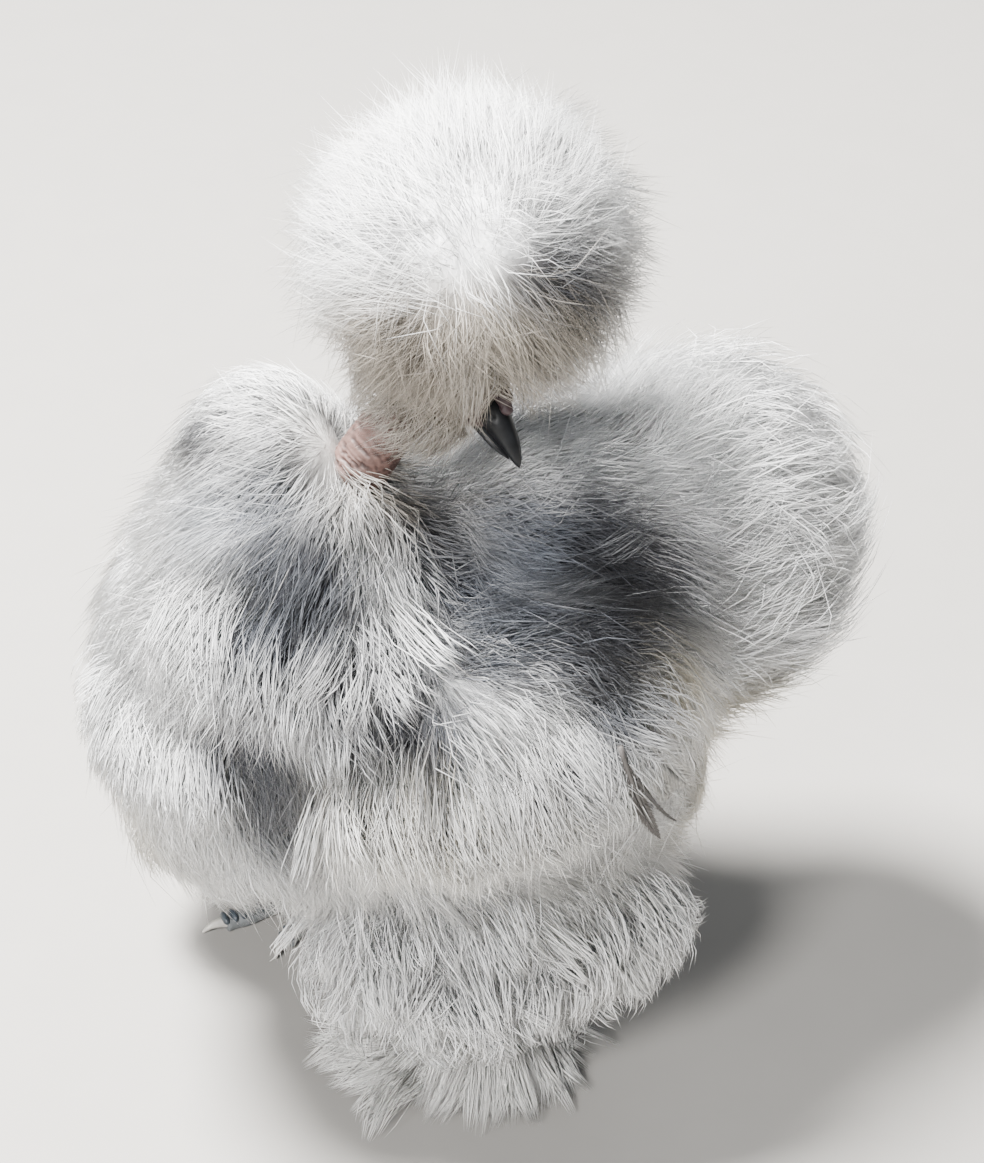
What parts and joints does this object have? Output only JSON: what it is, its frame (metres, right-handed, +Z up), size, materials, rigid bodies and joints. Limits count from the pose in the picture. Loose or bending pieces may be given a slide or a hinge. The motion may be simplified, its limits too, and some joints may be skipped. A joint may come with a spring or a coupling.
{
  "type": "silkie chicken",
  "caption": "Life-size standing silkie hen with a round crest, fluffy coat and feathered feet, head turned back over its shoulder.",
  "frame": {"origin": "on the floor, under the middle of the bird's bounding box", "axes": "+Z up; the breast faces -Y and the left wing is on the +X side"},
  "size_m": [0.1844, 0.2628, 0.3529],
  "materials": {
    "plumage": "white down-like feathers with hair-like, unhooked barbs",
    "grey_plumage": "white feathers streaked and clouded with blue grey",
    "neck_skin": "bare, finely wrinkled pinkish grey skin",
    "face_skin": "dark mulberry skin with fine bristles",
    "horn": "black horn with a soft polish",
    "comb_skin": "pebbled dark mulberry flesh",
    "lobe_skin": "smooth blue-green skin",
    "eye": "wet black-brown eye",
    "scales": "slate scutes with pale seams",
    "claw": "pale grey horn"
  },
  "bodies": {
    "root": {"hackle": "grey_plumage", "breast": "plumage", "saddle": "grey_plumage", "torso": "plumage", "tail": "plumage", "wing_left": "grey_plumage", "wing_right": "grey_plumage", "thigh_left": "plumage", "thigh_right": "plumage", "neck": "neck_skin", "head": "face_skin", "beak_upper": "horn", "beak_lower": "horn", "comb": "comb_skin", "wattle_left": "comb_skin", "wattle_right": "comb_skin", "earlobe_left": "lobe_skin", "earlobe_right": "lobe_skin", "eye_left": "eye", "eye_right": "eye", "crest": "plumage", "shank_left": "plumage", "shank_right": "plumage", "foot_left": "scales", "foot_right": "scales", "claw_left_1": "claw", "claw_left_2": "claw", "claw_left_3": "claw", "claw_left_4": "claw", "claw_left_5": "claw", "claw_right_1": "claw", "claw_right_2": "claw", "claw_right_3": "claw", "claw_right_4": "claw", "claw_right_5": "claw"}
  },
  "joints": []
}
